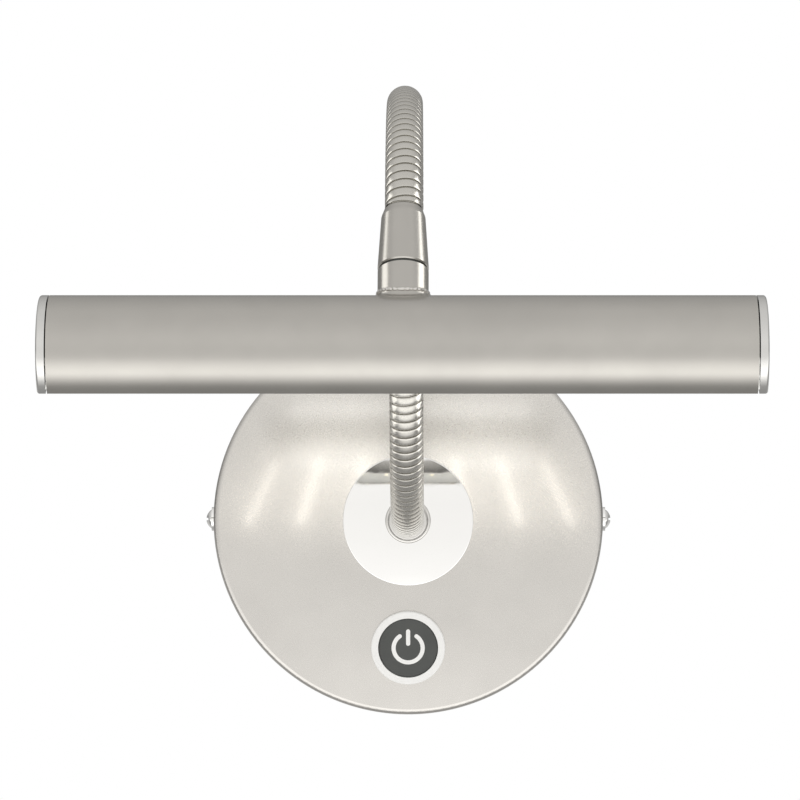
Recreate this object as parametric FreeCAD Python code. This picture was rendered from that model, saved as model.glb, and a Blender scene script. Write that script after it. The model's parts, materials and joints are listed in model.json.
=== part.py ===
import FreeCAD, Part
import math
import os

# Picture light: a round wall canopy with a push switch, a wound gooseneck and a tubular LED head.
# Row frame, millimetres: X to the viewer's right, Y into the wall, Z up. The origin is the centre of
# the canopy on the wall plane, so everything stands on the -Y side.

V = FreeCAD.Vector
X_AXIS = V(1, 0, 0)
Z_AXIS = V(0, 0, 1)
ORIGIN = V(0, 0, 0)

# ---- wall canopy -------------------------------------------------------------------------------
CANOPY_R = 60.0
CANOPY_DEPTH = 25.0
CANOPY_CROWN = 5.3
CANOPY_SHEET = 1.2
CANOPY_EDGE_R = 2.0
CANOPY_INNER_EDGE_R = 1.0
DOME_R = (CANOPY_R**2 + CANOPY_CROWN**2) / (2 * CANOPY_CROWN)
DOME_CENTRE = CANOPY_DEPTH - DOME_R

# ---- bracket behind the canopy -----------------------------------------------------------------
BRACKET_T = 1.5
STRAP_HALF_X = 57.8
STRAP_HALF_Z = 8.0
TAB_HEIGHT = 16.0
UPPER_TONGUE_HALF_X = 15.0
UPPER_TONGUE_TOP = 44.0
LOWER_TONGUE_X0 = -36.0
LOWER_TONGUE_X1 = -12.0
LOWER_TONGUE_BOTTOM = -27.0
CABLE_ENTRY_R = 6.5
WALL_SLOT_X = 30.0
WALL_SLOT_R = 2.25
WALL_SLOT_LENGTH = 12.0
BRACKET_HOLE_R = 1.95

# ---- canopy side screws ------------------------------------------------------------------------
SIDE_SCREW_FORWARD = 10.0
SIDE_SCREW_SHANK_R = 1.9
SIDE_SCREW_SHANK_INNER_X = 54.0
SIDE_SCREW_HOLE_R = 2.2
SIDE_SCREW_FLANGE_R = 3.7
SIDE_SCREW_FLANGE_T = 0.8
SIDE_SCREW_HEAD_R = 3.0
SIDE_SCREW_HEAD_H = 1.7
SIDE_SCREW_SLOT_W = 0.8
SIDE_SCREW_SLOT_DEPTH = 0.9
SIDE_SCREW_SLOT_REACH = 2.1
SIDE_SCREW_SEAT = 0.12

# ---- rosette and neck fitting ------------------------------------------------------------------
ROSETTE_R = 20.0
ROSETTE_RIM = 0.9
ROSETTE_CROWN = 26.9
ROSETTE_SHEET = 0.8
ROSETTE_EDGE_R = 0.3
ROSETTE_LIFT = 0.02
STEM_R = 5.0
STEM_HOLE_R = 5.15
STEM_BACK = 16.0
FITTING_BORE_R = 2.4
FLANGE_R = 7.0
FLANGE_T = 2.0
FLANGE_EDGE_R = 0.5
COLLAR_R = 5.75
WASHER_R = 8.5
WASHER_T = 1.0
WASHER_SPLIT_HALF = 0.6
WASHER_FRONT = 23.6
NUT_ACROSS_FLATS = 14.0
NUT_T = 3.0
THREAD_GAP = 0.02

# ---- gooseneck ---------------------------------------------------------------------------------
NECK_START = 32.5
NECK_R = 5.0
GROOVE_R = 4.7
NECK_BORE_R = 3.2
TURN_PITCH = 2.5
BAND_LENGTH = 2.17
# each run: links, turns in a link, bend radius, +1 curls up and -1 curls down
NECK_RUNS = ((4, 11, 62.26, 1), (3, 9, 38.21, -1), (2, 13, 59.07, -1))
BALL_R = 6.0
BALL_REACH = 6.0
SOCKET_CLEARANCE = 0.1
CUTTER_R = 9.0
NECK_CABLE_R = 1.5
CABLE_END_GAP = 0.4
NECK_SPIGOT_R = 4.6
NECK_SPIGOT_LENGTH = 5.0

# ---- swivel ferrule at the end of the neck, lengths from the ferrule's neck end ------------------
FERRULE_NECK_R = 5.2
FERRULE_SHOULDER_R = 5.95
FERRULE_SHOULDER_AT = 2.6
FERRULE_END_R = 6.85
FERRULE_LENGTH = 18.1
FERRULE_SPIGOT_BORE_R = 4.65
FERRULE_SPIGOT_DEPTH = 6.0
FERRULE_CAVITY_R = 5.4
FERRULE_FLOOR = 14.1
FERRULE_MOUTH_R = 3.95
FERRULE_EDGE = 0.3
FERRULE_WAIST = (5.5, 1.2)
FERRULE_KNEE = (5.8, 2.0)
BUSH_R = 3.9
BUSH_BORE_R = 3.05
BUSH_FLANGE_R = 6.2
BUSH_FLANGE_T = 0.8
PIVOT_R = 3.0
PIVOT_BORE_R = 1.9
PIVOT_TOP = 9.7
SWIVEL_NUT_AF = 9.0
SWIVEL_NUT_TOP = 10.7
SWIVEL_NUT_T = 2.6
WAVE_WASHER_R = 4.8
STUB_R = 6.8
STUB_LENGTH = 8.9
STUB_WELD_R = 1.3
HEAD_NUT_T = 2.6
HEAD_NUT_SEAT = 1.2
PIVOT_TAIL = 0.9

# ---- lamp head, seen along the tube: local Z is away from the opening ------------------------------
TUBE_R = 14.5
TUBE_WALL = 1.2
TUBE_INNER_R = TUBE_R - TUBE_WALL
TUBE_LENGTH = 186.0
TUBE_LIP_ANGLE = 60.0
TUBE_LIP_Z = -TUBE_R * math.cos(math.radians(TUBE_LIP_ANGLE))
OPENING_FACES = 67.5
RIB_OVERLAP = 0.05
CAP_T = 2.3
CAP_GAP = 0.35
CAP_EDGE_R = 0.7
CAP_PLUG = 3.0
CAP_PLUG_CLEARANCE = 0.1
INSERT_LENGTH = TUBE_LENGTH - 2 * CAP_PLUG - 0.4
CARRIER_BACK = 2.2
CARRIER_T = 2.0
CARRIER_HALF_Y = 12.9
BOARD_HALF_X = 88.0
BOARD_HALF_Y = 8.0
BOARD_T = 1.0
LED_COUNT = 7
LED_PITCH = 27.0
LED_SIZE = 3.0
LED_T = 0.8
BOARD_SCREW_X = (-67.5, -40.5, 40.5, 67.5)
BOARD_SCREW_Y = 5.5
BOARD_SCREW_R = 1.2
BOARD_SCREW_HEAD_R = 2.2
BOARD_SCREW_HEAD_T = 1.0
HEAD_CABLE_X = 13.5
HEAD_CABLE_HOLE_R = 2.2
LENS_TOP = -4.7
LENS_T = 1.4
LENS_HALF_Y = 11.6
# inner ribs of the tube: highest z, lowest z, half gap between the two sides
TUBE_RIBS = ((3.2, 2.3, 11.4), (0.1, -1.0, 12.0), (-3.6, -4.6, 11.0), (-6.2, TUBE_LIP_Z, 10.4))
CAP_PLUG_HALF_Y = 10.1
CAP_PLUG_LOW = TUBE_LIP_Z + 0.2
CAP_PLUG_HIGH = 1.9
# bends of the cable in the head, in head axes
HEAD_CABLE_BENDS = ((8.0, 3.0, 4.8), (12.9, 0.4, 2.8), (13.5, 0.0, -1.1))

# ---- push switch, lengths along the dome's normal at its centre ---------------------------------
SWITCH_DROP = 39.1
SWITCH_HOLE_R = 9.8
BEZEL_R = 11.35
BEZEL_INNER_R = 9.2
BEZEL_SLEEVE_R = 9.72
BEZEL_SEAT = -0.13
BEZEL_TOP = 1.2
BEZEL_SLEEVE_END = -6.0
BEZEL_EDGE_R = 0.5
RING_NUT_R = 12.0
RING_NUT_AF = 23.28
RING_NUT_GAP = 0.03
RING_NUT_TOP = -1.5
RING_NUT_T = 2.7
HOUSING_R = 9.7
HOUSING_CAVITY_R = 7.5
HOUSING_BACK = -14.0
HOUSING_FLOOR = -12.5
HOUSING_WIRE_X = -5.0
SWITCH_BOARD_R = 7.3
SWITCH_BOARD_TOP = -11.4
TACT_HALF = 3.0
TACT_TOP = -8.0
TACT_NUB_R = 1.5
TACT_NUB_TOP = -7.35
BUTTON_R = 9.1
BUTTON_TOP = 0.9
BUTTON_UNDER = -1.6
BUTTON_EDGE_R = 0.4
PLUNGER_R = 2.0
PLUNGER_END = -6.2
SPRING_COIL_R = 5.5
SPRING_WIRE_R = 0.3
SPRING_TURNS = 5
SPRING_POINTS = 12
SPRING_GAP = 0.05
SYMBOL_R = 5.1
SYMBOL_STROKE = 1.27
SYMBOL_GAP_DEG = 35.0
SYMBOL_BAR_LOW = 0.7
SYMBOL_BAR_HIGH = 5.8
SYMBOL_DEPTH = 0.3

# ---- driver, terminal block and cables ------------------------------------------------------------
DRIVER_HALF_X = 26.0
DRIVER_LOW = 14.0
DRIVER_HIGH = 41.0
DRIVER_BACK = 2.5
DRIVER_FRONT = 16.5
DRIVER_WALL = 1.4
DRIVER_LID_T = 1.4
PAD_HALF_X = 14.0
PAD_INSET = 2.0
DRIVER_BOARD_GAP = 0.5
DRIVER_BOARD_T = 1.6
DRIVER_BOARD_LIFT = 2.0
DRIVER_CORNER_R = 2.0
DRIVER_HOLE_DEPTH = 9.0
SUPPLY_HOLE_X = -20.0
LED_HOLE_X = -9.0
SWITCH_HOLE_X = 9.0
WIRE_TAIL = 2.5
CAPACITOR_R, CAPACITOR_H, CAPACITOR_AT = 3.5, 5.5, (-17.0, 33.0)
INDUCTOR_R, INDUCTOR_H, INDUCTOR_AT = 3.0, 4.5, (14.0, 33.0)
TRANSFORMER_BOX, TRANSFORMER_H = (-6.0, 6.0, 27.0, 37.0), 5.5
CHIP_BOX, CHIP_H = (12.0, 19.0, 21.0, 26.0), 1.6
CABLE_HOLE_R = 1.7
LED_LEAD_HOLE_R = 2.0
TERMINAL_X0 = -35.0
TERMINAL_X1 = -13.0
TERMINAL_LOW = -26.0
TERMINAL_HIGH = -15.0
TERMINAL_FRONT = 11.5
TERMINAL_POLES = 3
TERMINAL_SCREW_R = 1.5
TERMINAL_WELL_R = 1.7
TERMINAL_SCREW_LOW = 6.0
TERMINAL_SCREW_HIGH = 10.2
TERMINAL_WELL_FLOOR = 5.8
WIRE_HOLE_R = 1.3
WIRE_HOLE_DEPTH = 4.2
WIRE_R = 1.1
NOTCH_DEPTH = 0.6
NOTCH_HALF = 0.25
EARTH_NOTCH_DEPTH = 1.0
EARTH_NOTCH_HALF = 0.5
EARTH_NOTCH_REACH = 2.4
# bends of the leads in canopy axes: x, height, distance from the wall
SUPPLY_BENDS = ((-23.0, -2.0, 8.0), (-20.4, 8.0, 9.0))
LED_BENDS = ((-9.0, 11.0, 9.0), (-7.5, 5.0, 8.5), (-3.0, 0.8, 9.5))
LED_STRAIGHT = (-2.0, 0.0, 2.0, 5.0, 9.0, 13.0)
SWITCH_BENDS = ((3.0, -26.0, 6.0), (9.0, -8.0, 7.0))
EARTH_SCREW_X = 45.0
EARTH_HEAD_R = 3.5
EARTH_HEAD_H = 2.4


# ---- helpers -----------------------------------------------------------------------------------
def save(shape, name):
    shape.exportStep("parts/" + name + ".step")


def disc(radius, low, high):
    return Part.makeCylinder(radius, high - low, V(0, 0, low))


def ring(outer, inner, low, high):
    return disc(outer, low, high).cut(disc(inner, low - 1, high + 1))


def block(x0, x1, y0, y1, z0, z1):
    return Part.makeBox(x1 - x0, y1 - y0, z1 - z0, V(x0, y0, z0))


def spun(points):
    """A solid turned about local Z from an outline of (radius, height) points."""
    outline = [V(radius, 0, height) for radius, height in points]
    outline.append(outline[0])
    return Part.Face(Part.makePolygon(outline)).revolve(ORIGIN, Z_AXIS, 360)


def hex_prism(across_flats, low, high):
    corner_r = across_flats / math.sqrt(3)
    corners = [V(corner_r * math.cos(math.radians(60 * k)), corner_r * math.sin(math.radians(60 * k)), low)
               for k in range(7)]
    return Part.Face(Part.makePolygon(corners)).extrude(V(0, 0, high - low))


def round_edges(shape, radius, wanted):
    """Round every edge whose middle the test accepts."""
    edges = [edge for edge in shape.Edges if wanted(edge)]
    return shape.makeFillet(radius, edges)


def edge_at(height, radius):
    """A test for the circular edge of this height and radius about local Z."""
    def wanted(edge):
        point = edge.valueAt(edge.FirstParameter)
        end = edge.valueAt(0.5 * (edge.FirstParameter + edge.LastParameter))
        near = abs(math.hypot(point.x, point.y) - radius) < 0.02
        return near and abs(point.z - height) < 0.05 and abs(end.z - height) < 0.05
    return wanted


def pipe(points, radius):
    """A round cable along a smooth curve through the points."""
    curve = Part.BSplineCurve()
    curve.interpolate([V(*point) for point in points])
    path = Part.Wire([curve.toShape()])
    start = curve.value(curve.FirstParameter)
    heading = curve.tangent(curve.FirstParameter)[0]
    section = Part.Wire([Part.makeCircle(radius, start, heading)])
    return path.makePipeShell([section], True, False)


def placed(shape, placement):
    moved = shape.copy()
    moved.Placement = placement.multiply(moved.Placement)
    return moved


def facing(forward, height, angle):
    """The placement whose local Z points forward of the wall, raised by an angle in degrees."""
    return FreeCAD.Placement(V(0, -forward, height), FreeCAD.Rotation(X_AXIS, 90 - angle))


WALL = facing(0, 0, 0)


def on_wall(shape):
    """From canopy axes (x, height, distance from the wall) to the row frame."""
    return placed(shape, WALL)


# ---- canopy parts ------------------------------------------------------------------------------
def dome_height(radius, centre=DOME_CENTRE, dome_r=DOME_R):
    return centre + math.sqrt(dome_r**2 - radius**2)


def domed_disc(radius, dome_r, edge_r):
    body = disc(radius, 0, CANOPY_DEPTH + 1).common(Part.makeSphere(dome_r, V(0, 0, DOME_CENTRE)))
    return round_edges(body, edge_r, edge_at(dome_height(radius, dome_r=dome_r), radius))


def switch_place():
    tilt = math.degrees(math.asin(SWITCH_DROP / DOME_R))
    centre = V(0, -SWITCH_DROP, dome_height(SWITCH_DROP))
    return FreeCAD.Placement(centre, FreeCAD.Rotation(X_AXIS, tilt))


SWITCH = switch_place()


def canopy_cover():
    outer = domed_disc(CANOPY_R, DOME_R, CANOPY_EDGE_R)
    inner = domed_disc(CANOPY_R - CANOPY_SHEET, DOME_R - CANOPY_SHEET, CANOPY_INNER_EDGE_R)
    shell = outer.cut(inner)
    shell = shell.cut(disc(STEM_HOLE_R, 0, CANOPY_DEPTH + 1))
    shell = shell.cut(placed(disc(SWITCH_HOLE_R, -10, 10), SWITCH))
    end = V(-CANOPY_R - 1, 0, SIDE_SCREW_FORWARD)
    across = Part.makeCylinder(SIDE_SCREW_HOLE_R, 2 * CANOPY_R + 2, end, X_AXIS)
    return on_wall(shell.cut(across))


def slot(x_mid, length, radius):
    """A slotted hole along X through the bracket's strap."""
    reach = length / 2 - radius
    low, high = -1, BRACKET_T + 1
    middle = block(x_mid - reach, x_mid + reach, -radius, radius, low, high)
    ends = [Part.makeCylinder(radius, high - low, V(x_mid + side * reach, 0, low)) for side in (-1, 1)]
    return middle.multiFuse(ends)


def wall_bracket():
    pieces = [
        block(-UPPER_TONGUE_HALF_X, UPPER_TONGUE_HALF_X, STRAP_HALF_Z, UPPER_TONGUE_TOP, 0, BRACKET_T),
        block(LOWER_TONGUE_X0, LOWER_TONGUE_X1, LOWER_TONGUE_BOTTOM, -STRAP_HALF_Z, 0, BRACKET_T),
    ]
    for side in (-1, 1):
        outer, inner = side * STRAP_HALF_X, side * (STRAP_HALF_X - BRACKET_T)
        pieces.append(block(min(outer, inner), max(outer, inner), -STRAP_HALF_Z, STRAP_HALF_Z, 0, TAB_HEIGHT))
    strap = block(-STRAP_HALF_X, STRAP_HALF_X, -STRAP_HALF_Z, STRAP_HALF_Z, 0, BRACKET_T)
    bracket = strap.multiFuse(pieces).removeSplitter()
    holes = [slot(side * WALL_SLOT_X, WALL_SLOT_LENGTH, WALL_SLOT_R) for side in (-1, 1)]
    holes.append(disc(CABLE_ENTRY_R, -1, BRACKET_T + 1))
    holes.append(Part.makeCylinder(BRACKET_HOLE_R, BRACKET_T + 2, V(EARTH_SCREW_X, 0, -1)))
    holes.append(Part.makeCylinder(BRACKET_HOLE_R, 2 * CANOPY_R, V(-CANOPY_R, 0, SIDE_SCREW_FORWARD), X_AXIS))
    return on_wall(bracket.cut(holes))


def side_screw():
    """One canopy screw along local Z, whose head stands outside the canopy."""
    seat = CANOPY_R + SIDE_SCREW_SEAT
    flange_top = seat + SIDE_SCREW_FLANGE_T
    flange = disc(SIDE_SCREW_FLANGE_R, seat, flange_top)
    dome_r = (SIDE_SCREW_HEAD_R**2 + SIDE_SCREW_HEAD_H**2) / (2 * SIDE_SCREW_HEAD_H)
    ball = Part.makeSphere(dome_r, V(0, 0, flange_top + SIDE_SCREW_HEAD_H - dome_r))
    head = disc(SIDE_SCREW_HEAD_R, flange_top, flange_top + SIDE_SCREW_HEAD_H).common(ball)
    shank = disc(SIDE_SCREW_SHANK_R, SIDE_SCREW_SHANK_INNER_X, seat)
    top = flange_top + SIDE_SCREW_HEAD_H
    half, reach = SIDE_SCREW_SLOT_W / 2, SIDE_SCREW_SLOT_REACH
    slots = [
        block(-half, half, -reach, reach, top - SIDE_SCREW_SLOT_DEPTH, top),
        block(-reach, reach, -half, half, top - SIDE_SCREW_SLOT_DEPTH, top),
    ]
    return flange.multiFuse([head, shank]).cut(slots)


def side_screws():
    both = []
    for turn in (90, -90):
        lying = FreeCAD.Placement(V(0, 0, SIDE_SCREW_FORWARD), FreeCAD.Rotation(V(0, 1, 0), turn))
        both.append(on_wall(placed(side_screw(), lying)))
    return Part.makeCompound(both)


def rosette():
    rim_back = dome_height(ROSETTE_R - ROSETTE_SHEET) + ROSETTE_LIFT
    rim_front = rim_back + ROSETTE_RIM
    rise = ROSETTE_CROWN - rim_front
    curve_r = (ROSETTE_R**2 + rise**2) / (2 * rise)
    outer = disc(ROSETTE_R, rim_back, ROSETTE_CROWN + 1).common(
        Part.makeSphere(curve_r, V(0, 0, ROSETTE_CROWN - curve_r)))
    hollow = disc(ROSETTE_R - ROSETTE_SHEET, rim_back - 1, ROSETTE_CROWN + 1).common(
        Part.makeSphere(curve_r, V(0, 0, ROSETTE_CROWN - ROSETTE_SHEET - curve_r)))
    outer = round_edges(outer, ROSETTE_EDGE_R, edge_at(rim_front, ROSETTE_R))
    shell = outer.cut(hollow).cut(disc(STEM_HOLE_R, 0, CANOPY_DEPTH + 5))
    return on_wall(shell)


def neck_base_fitting():
    flange_back = ROSETTE_CROWN
    flange_front = flange_back + FLANGE_T
    body = disc(STEM_R, STEM_BACK, flange_back + 1)
    flange = disc(FLANGE_R, flange_back, flange_front)
    flange = round_edges(flange, FLANGE_EDGE_R, edge_at(flange_front, FLANGE_R))
    collar = disc(COLLAR_R, flange_front - 0.5, NECK_START)
    ball = disc(NECK_R, NECK_START - 1, NECK_START + BALL_REACH).common(
        Part.makeSphere(BALL_R, V(0, 0, NECK_START)))
    solid = body.multiFuse([flange, collar, ball]).removeSplitter()
    bores = [
        disc(FITTING_BORE_R, 0, NECK_START),
        disc(NECK_BORE_R, NECK_START - 1, NECK_START + BALL_REACH + 1),
    ]
    return on_wall(solid.cut(bores))


def lock_washer():
    half = WASHER_SPLIT_HALF
    split = block(0, WASHER_R + 1, -half, half, WASHER_FRONT - WASHER_T - 1, WASHER_FRONT + 1)
    return on_wall(ring(WASHER_R, STEM_HOLE_R, WASHER_FRONT - WASHER_T, WASHER_FRONT).cut(split))


def hex_nut():
    top = WASHER_FRONT - WASHER_T
    nut = hex_prism(NUT_ACROSS_FLATS, top - NUT_T, top)
    return on_wall(nut.cut(disc(STEM_R + THREAD_GAP, top - NUT_T - 1, top + 1)))


# ---- switch parts ------------------------------------------------------------------------------
def at_switch(shape):
    return on_wall(placed(shape, SWITCH))


def switch_bezel():
    flange = round_edges(disc(BEZEL_R, BEZEL_SEAT, BEZEL_TOP), BEZEL_EDGE_R, edge_at(BEZEL_TOP, BEZEL_R))
    sleeve = disc(BEZEL_SLEEVE_R, BEZEL_SLEEVE_END, BEZEL_SEAT + 0.1)
    return at_switch(flange.fuse(sleeve).cut(disc(BEZEL_INNER_R, BEZEL_SLEEVE_END - 1, BEZEL_TOP + 1)))


def switch_ring_nut():
    nut = hex_prism(RING_NUT_AF, RING_NUT_TOP - RING_NUT_T, RING_NUT_TOP)
    nut = nut.common(disc(RING_NUT_R, RING_NUT_TOP - RING_NUT_T, RING_NUT_TOP))
    return at_switch(nut.cut(disc(BEZEL_SLEEVE_R + RING_NUT_GAP, RING_NUT_TOP - RING_NUT_T - 1, 0)))


def switch_housing():
    cup = disc(HOUSING_R, HOUSING_BACK, BEZEL_SLEEVE_END)
    cup = cup.cut(disc(HOUSING_CAVITY_R, HOUSING_FLOOR, BEZEL_SLEEVE_END + 1))
    wire_way = Part.makeCylinder(CABLE_HOLE_R, 4, V(HOUSING_WIRE_X, 0, HOUSING_BACK - 1))
    return at_switch(cup.cut(wire_way))


def switch_board():
    board = disc(SWITCH_BOARD_R, HOUSING_FLOOR + 0.1, SWITCH_BOARD_TOP)
    tact = block(-TACT_HALF, TACT_HALF, -TACT_HALF, TACT_HALF, SWITCH_BOARD_TOP, TACT_TOP)
    nub = disc(TACT_NUB_R, TACT_TOP, TACT_NUB_TOP)
    return at_switch(board.multiFuse([tact, nub]))


def switch_spring():
    low = SWITCH_BOARD_TOP + SPRING_WIRE_R + SPRING_GAP
    rise = BUTTON_UNDER - SPRING_WIRE_R - SPRING_GAP - low
    total = SPRING_TURNS * SPRING_POINTS
    points = []
    for step in range(total + 1):
        turn = 2 * math.pi * step / SPRING_POINTS
        across, up = SPRING_COIL_R * math.cos(turn), SPRING_COIL_R * math.sin(turn)
        points.append((across, up, low + rise * step / total))
    return at_switch(pipe(points, SPRING_WIRE_R))


def symbol_hoop(low, height):
    """An open ring with round ends, as one solid."""
    mid_r, half = SYMBOL_R - SYMBOL_STROKE / 2, SYMBOL_STROKE / 2

    def at(radius, degrees, ahead=0.0):
        turn = math.radians(degrees)
        return V(radius * math.cos(turn) - ahead * math.sin(turn),
                 radius * math.sin(turn) + ahead * math.cos(turn), low)

    first, last, opposite = 90 + SYMBOL_GAP_DEG, 450 - SYMBOL_GAP_DEG, 270
    arcs = [
        Part.Arc(at(mid_r + half, first), at(mid_r + half, opposite), at(mid_r + half, last)),
        Part.Arc(at(mid_r + half, last), at(mid_r, last, half), at(mid_r - half, last)),
        Part.Arc(at(mid_r - half, last), at(mid_r - half, opposite), at(mid_r - half, first)),
        Part.Arc(at(mid_r - half, first), at(mid_r, first, -half), at(mid_r + half, first)),
    ]
    return Part.Face(Part.Wire([arc.toShape() for arc in arcs])).extrude(V(0, 0, height))


def symbol_bar(low, height):
    """A short upright bar with round ends, as one solid."""
    half = SYMBOL_STROKE / 2
    foot, head = SYMBOL_BAR_LOW + half, SYMBOL_BAR_HIGH - half
    edges = [
        Part.Arc(V(-half, foot, low), V(0, foot - half, low), V(half, foot, low)),
        Part.LineSegment(V(half, foot, low), V(half, head, low)),
        Part.Arc(V(half, head, low), V(0, head + half, low), V(-half, head, low)),
        Part.LineSegment(V(-half, head, low), V(-half, foot, low)),
    ]
    return Part.Face(Part.Wire([edge.toShape() for edge in edges])).extrude(V(0, 0, height))


def symbol_shape(low, high):
    """The generic standby sign: an open ring with a bar in its gap."""
    return symbol_hoop(low, high - low), symbol_bar(low, high - low)


def button_cap():
    cap = round_edges(disc(BUTTON_R, BUTTON_UNDER, BUTTON_TOP), BUTTON_EDGE_R, edge_at(BUTTON_TOP, BUTTON_R))
    plunger = disc(PLUNGER_R, PLUNGER_END, BUTTON_UNDER)
    hoop, bar = symbol_shape(BUTTON_TOP - SYMBOL_DEPTH, BUTTON_TOP + 1)
    return at_switch(cap.fuse(plunger).cut([hoop, bar]))


def power_symbol():
    hoop, bar = symbol_shape(BUTTON_TOP - SYMBOL_DEPTH, BUTTON_TOP)
    return at_switch(Part.makeCompound([hoop, bar]))


# ---- driver, terminal block and cables -------------------------------------------------------------
def driver_box(margin, back, front):
    return block(-DRIVER_HALF_X + margin, DRIVER_HALF_X - margin,
                 DRIVER_LOW + margin, DRIVER_HIGH - margin, back, front)


def is_upright(edge):
    return abs(edge.tangentAt(0).z) > 0.9


def driver_case():
    lid_back = DRIVER_FRONT - DRIVER_LID_T
    case = round_edges(driver_box(0, DRIVER_BACK, lid_back), DRIVER_CORNER_R,
                       lambda edge: edge.Length > 10 and is_upright(edge))
    case = case.cut(driver_box(DRIVER_WALL, DRIVER_BACK + DRIVER_WALL, DRIVER_FRONT))
    holes = [
        Part.makeCylinder(hole_r, 4, V(x_mid, DRIVER_LOW - 1, DRIVER_HOLE_DEPTH), V(0, 1, 0))
        for x_mid, hole_r in ((SUPPLY_HOLE_X, CABLE_HOLE_R), (LED_HOLE_X, LED_LEAD_HOLE_R),
                              (SWITCH_HOLE_X, CABLE_HOLE_R))
    ]
    return on_wall(case.cut(holes))


def driver_lid():
    lid = driver_box(0, DRIVER_FRONT - DRIVER_LID_T, DRIVER_FRONT)
    return on_wall(round_edges(lid, DRIVER_CORNER_R, lambda edge: edge.Length < 2 and is_upright(edge)))


def driver_board():
    back = DRIVER_BACK + DRIVER_WALL + DRIVER_BOARD_LIFT
    top = back + DRIVER_BOARD_T
    board = driver_box(DRIVER_WALL + DRIVER_BOARD_GAP, back, top)
    can = Part.makeCylinder(CAPACITOR_R, CAPACITOR_H, V(*CAPACITOR_AT, top))
    transformer = block(*TRANSFORMER_BOX, top, top + TRANSFORMER_H)
    inductor = Part.makeCylinder(INDUCTOR_R, INDUCTOR_H, V(*INDUCTOR_AT, top))
    chip = block(*CHIP_BOX, top, top + CHIP_H)
    return on_wall(board.multiFuse([can, transformer, inductor, chip]))


def driver_pad():
    return on_wall(block(-PAD_HALF_X, PAD_HALF_X, DRIVER_LOW + PAD_INSET, DRIVER_HIGH - PAD_INSET,
                         BRACKET_T, DRIVER_BACK))


def pole_xs():
    step = (TERMINAL_X1 - TERMINAL_X0) / TERMINAL_POLES
    return [TERMINAL_X0 + step * (k + 0.5) for k in range(TERMINAL_POLES)]


def terminal_rows():
    quarter = (TERMINAL_HIGH - TERMINAL_LOW) / 4
    return (TERMINAL_LOW + quarter, TERMINAL_HIGH - quarter)


def terminal_block():
    body = block(TERMINAL_X0, TERMINAL_X1, TERMINAL_LOW, TERMINAL_HIGH, BRACKET_T, TERMINAL_FRONT)
    cuts = []
    for x_mid in pole_xs():
        way = Part.makeCylinder(WIRE_HOLE_R, 30, V(x_mid, TERMINAL_LOW - 1, WIRE_HOLE_DEPTH), V(0, 1, 0))
        cuts.append(way)
        for height in terminal_rows():
            cuts.append(Part.makeCylinder(TERMINAL_WELL_R, 9, V(x_mid, height, TERMINAL_WELL_FLOOR)))
    return on_wall(body.cut(cuts))


def terminal_screws():
    screws = []
    for x_mid in pole_xs():
        for height in terminal_rows():
            length = TERMINAL_SCREW_HIGH - TERMINAL_SCREW_LOW
            screw = Part.makeCylinder(TERMINAL_SCREW_R, length, V(x_mid, height, TERMINAL_SCREW_LOW))
            notch = block(x_mid - 2, x_mid + 2, height - NOTCH_HALF, height + NOTCH_HALF,
                          TERMINAL_SCREW_HIGH - NOTCH_DEPTH, TERMINAL_SCREW_HIGH + 1)
            screws.append(on_wall(screw.cut(notch)))
    return Part.makeCompound(screws)


def earth_screw():
    head = Part.makeCylinder(EARTH_HEAD_R, EARTH_HEAD_H, V(EARTH_SCREW_X, 0, BRACKET_T))
    shank = Part.makeCylinder(BRACKET_HOLE_R - 0.05, BRACKET_T - 0.1, V(EARTH_SCREW_X, 0, 0.1))
    top = BRACKET_T + EARTH_HEAD_H
    notch = block(EARTH_SCREW_X - EARTH_NOTCH_REACH, EARTH_SCREW_X + EARTH_NOTCH_REACH,
                  -EARTH_NOTCH_HALF, EARTH_NOTCH_HALF, top - EARTH_NOTCH_DEPTH, top + 1)
    return on_wall(head.fuse(shank).cut(notch))


def supply_lead():
    """From the terminal block's upper side to the driver's input hole."""
    x_mid = pole_xs()[1]
    start = (
        (x_mid, TERMINAL_HIGH - 4, WIRE_HOLE_DEPTH),
        (x_mid, TERMINAL_HIGH + 2, WIRE_HOLE_DEPTH + 0.2),
    )
    end = ((SUPPLY_HOLE_X, DRIVER_LOW + WIRE_TAIL, DRIVER_HOLE_DEPTH),)
    return on_wall(pipe(start + SUPPLY_BENDS + end, WIRE_R))


def led_lead():
    """From the driver's output hole through the neck fitting's bore to the first link."""
    start = (
        (LED_HOLE_X, DRIVER_LOW + WIRE_TAIL, DRIVER_HOLE_DEPTH),
        (LED_HOLE_X, DRIVER_LOW, DRIVER_HOLE_DEPTH),
    )
    straight = tuple((0, 0, STEM_BACK + step) for step in LED_STRAIGHT)
    end = ((0, 0, NECK_START - CABLE_END_GAP),)
    return on_wall(pipe(start + LED_BENDS + straight + end, NECK_CABLE_R))


def switch_lead():
    """From the switch housing's back to the driver."""
    start = SWITCH.multVec(V(HOUSING_WIRE_X, 0, HOUSING_FLOOR - 0.2))
    below = SWITCH.multVec(V(HOUSING_WIRE_X + 0.4, 1, HOUSING_BACK - WIRE_TAIL))
    end = (SWITCH_HOLE_X, DRIVER_LOW + WIRE_TAIL, DRIVER_HOLE_DEPTH)
    return on_wall(pipe((tuple(start), tuple(below)) + SWITCH_BENDS + (end,), WIRE_R))


# ---- gooseneck ---------------------------------------------------------------------------------
def neck_links():
    """Each link's start (forward, height, heading in degrees), bend radius, bend sign and turns."""
    links = []
    forward, height, heading = NECK_START, 0.0, 0.0
    for count, turns, radius, sign in NECK_RUNS:
        for _ in range(count):
            links.append((forward, height, heading, radius, sign, turns))
            swept = math.degrees(turns * TURN_PITCH / radius) * sign
            forward, height = arc_end(forward, height, heading, radius, sign, swept)
            heading += swept
    return links, (forward, height, heading)


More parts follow.
